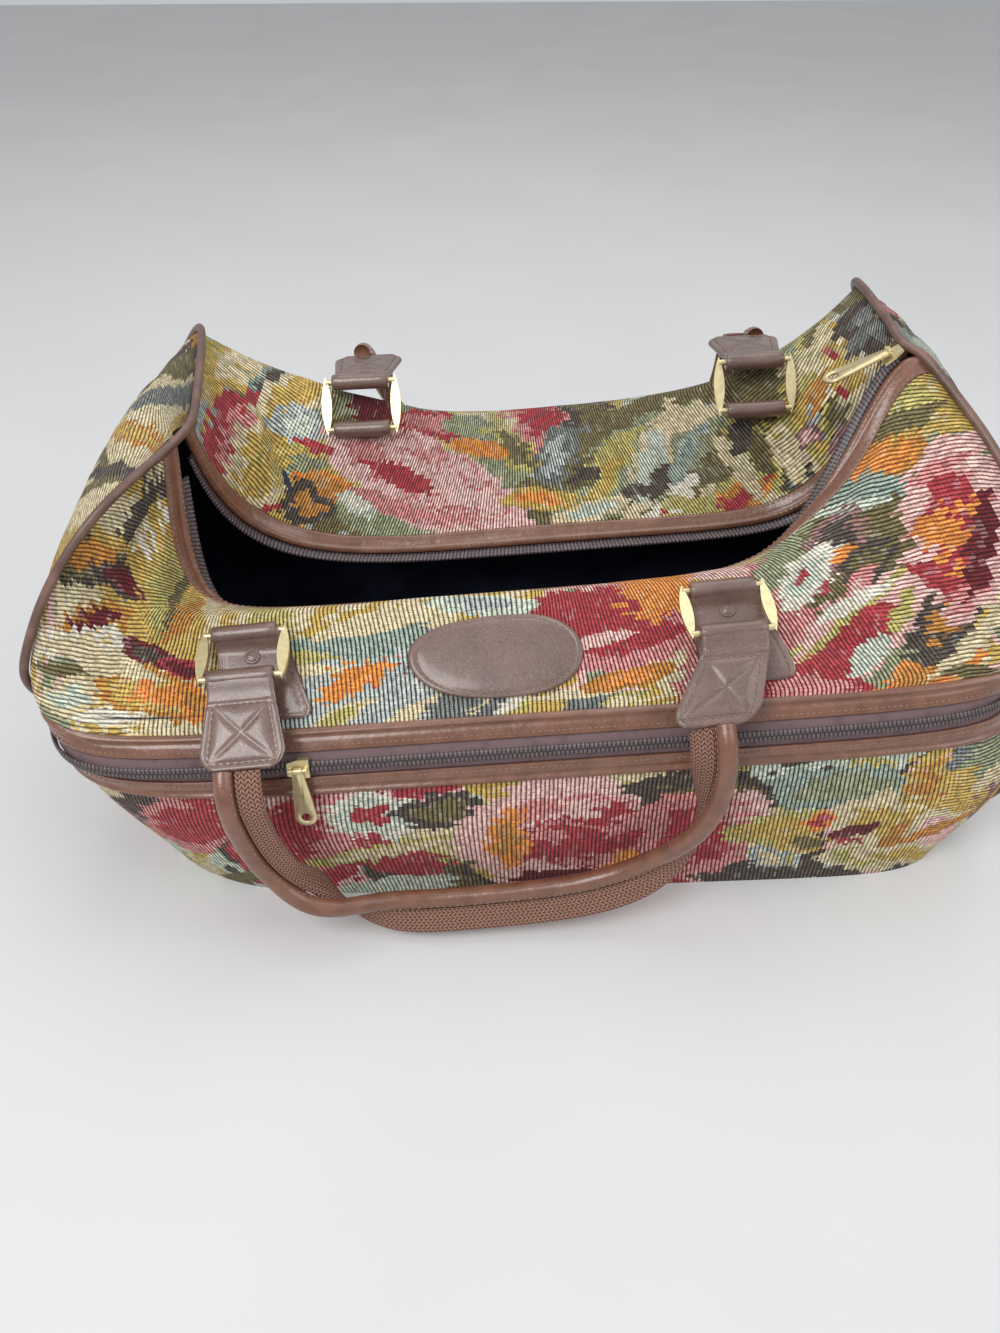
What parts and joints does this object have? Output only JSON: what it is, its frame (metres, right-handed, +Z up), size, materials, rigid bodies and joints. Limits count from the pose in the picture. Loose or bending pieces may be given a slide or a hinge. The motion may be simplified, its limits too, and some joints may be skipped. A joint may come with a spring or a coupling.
{
  "type": "weekend bag",
  "caption": "Soft tapestry weekend bag with an open zipped mouth, a closed expansion zip round its lower part and drop handles on brass rings.",
  "frame": {"origin": "middle of the flat base, on the floor", "axes": "+X along the bag to the right, +Y to the back, +Z up"},
  "size_m": [0.5764, 0.3513, 0.2953],
  "materials": {
    "tapestry": "ribbed floral weave in cream, gold, crimson, green and orange",
    "vinyl": "satin brown vinyl with stitched edges",
    "leather": "smooth taupe-brown leather, slightly glossy",
    "brass": "pale gold plating, lightly worn",
    "tape": "woven grey-mauve zip tape",
    "chain": "dark nylon coil",
    "webbing": "braided reddish brown webbing",
    "lining": "matt near-black lining"
  },
  "bodies": {
    "bag": {"front_panel": "tapestry", "back_panel": "tapestry", "left_end_panel": "tapestry", "right_end_panel": "tapestry", "base_band": "tapestry", "base_panel": "tapestry", "lining": "lining", "left_piping": "vinyl", "right_piping": "vinyl", "corner_piping": "vinyl", "front_mouth_band": "vinyl", "back_mouth_band": "vinyl", "front_mouth_zip": "tape", "back_mouth_zip": "tape", "mouth_slider": "brass", "upper_zip_band": "vinyl", "lower_zip_band": "vinyl", "zip_tape": "tape", "zip_chain": "chain", "front_left_patch": "leather", "front_right_patch": "leather", "back_left_patch": "leather", "back_right_patch": "leather", "rivets": "leather", "badge": "leather"},
    "front_left_ring": {"front_left_ring": "brass"},
    "front_right_ring": {"front_right_ring": "brass"},
    "front_handle": {"front_left_tab": "leather", "front_right_tab": "leather", "front_webbing": "webbing", "front_grip": "leather"},
    "back_left_ring": {"back_left_ring": "brass"},
    "back_right_ring": {"back_right_ring": "brass"},
    "back_handle": {"back_left_tab": "leather", "back_right_tab": "leather", "back_webbing": "webbing", "back_grip": "leather"},
    "zip_slider": {"zip_slider": "brass"},
    "zip_pull": {"zip_pull": "brass"},
    "mouth_pull": {"mouth_pull": "brass"}
  },
  "joints": [
    {"name": "front_left_ring_hinge", "type": "hinge", "parent": "bag", "child": "front_left_ring", "pos_m": [-0.16107, -0.07423, 0.16546], "axis": [-0.9971, -0.0118, -0.0756], "range_deg": [0, 95]},
    {"name": "front_right_ring_hinge", "type": "hinge", "parent": "bag", "child": "front_right_ring", "pos_m": [0.10311, -0.07111, 0.18548], "axis": [-0.9971, -0.0118, -0.0756], "range_deg": [0, 95]},
    {"name": "front_handle_hinge", "type": "hinge", "parent": "front_left_ring", "child": "front_handle", "pos_m": [-0.16018, -0.10333, 0.15822], "axis": [-0.9971, -0.0118, -0.0756], "range_deg": [0, 75]},
    {"name": "back_left_ring_hinge", "type": "hinge", "parent": "bag", "child": "back_left_ring", "pos_m": [-0.10146, 0.07813, 0.21083], "axis": [0.9964, -0.0582, 0.061], "range_deg": [0, 35]},
    {"name": "back_right_ring_hinge", "type": "hinge", "parent": "bag", "child": "back_right_ring", "pos_m": [0.14746, 0.06359, 0.22606], "axis": [0.9964, -0.0582, 0.061], "range_deg": [0, 35]},
    {"name": "back_handle_hinge", "type": "hinge", "parent": "back_left_ring", "child": "back_handle", "pos_m": [-0.10191, 0.09582, 0.23505], "axis": [0.9964, -0.0582, 0.061], "range_deg": [0, 120]},
    {"name": "zip_slide", "type": "slide", "parent": "bag", "child": "zip_slider", "axis": [0.9987, -0.0003, 0.0503], "range_m": [0, 0.2]},
    {"name": "zip_pull_hinge", "type": "hinge", "parent": "zip_slider", "child": "zip_pull", "pos_m": [-0.132, -0.13433, 0.11651], "axis": [-0.9987, 0.0003, -0.0503], "range_deg": [0, 70]},
    {"name": "mouth_pull_hinge", "type": "hinge", "parent": "bag", "child": "mouth_pull", "pos_m": [0.20122, 0.01349, 0.28371], "axis": [-0.0572, 0.9984, 0], "range_deg": [0, 110]}
  ],
  "couplings": [
    {"joint": "front_right_ring_hinge", "follows": "front_left_ring_hinge", "ratio": 1},
    {"joint": "back_right_ring_hinge", "follows": "back_left_ring_hinge", "ratio": 1}
  ]
}
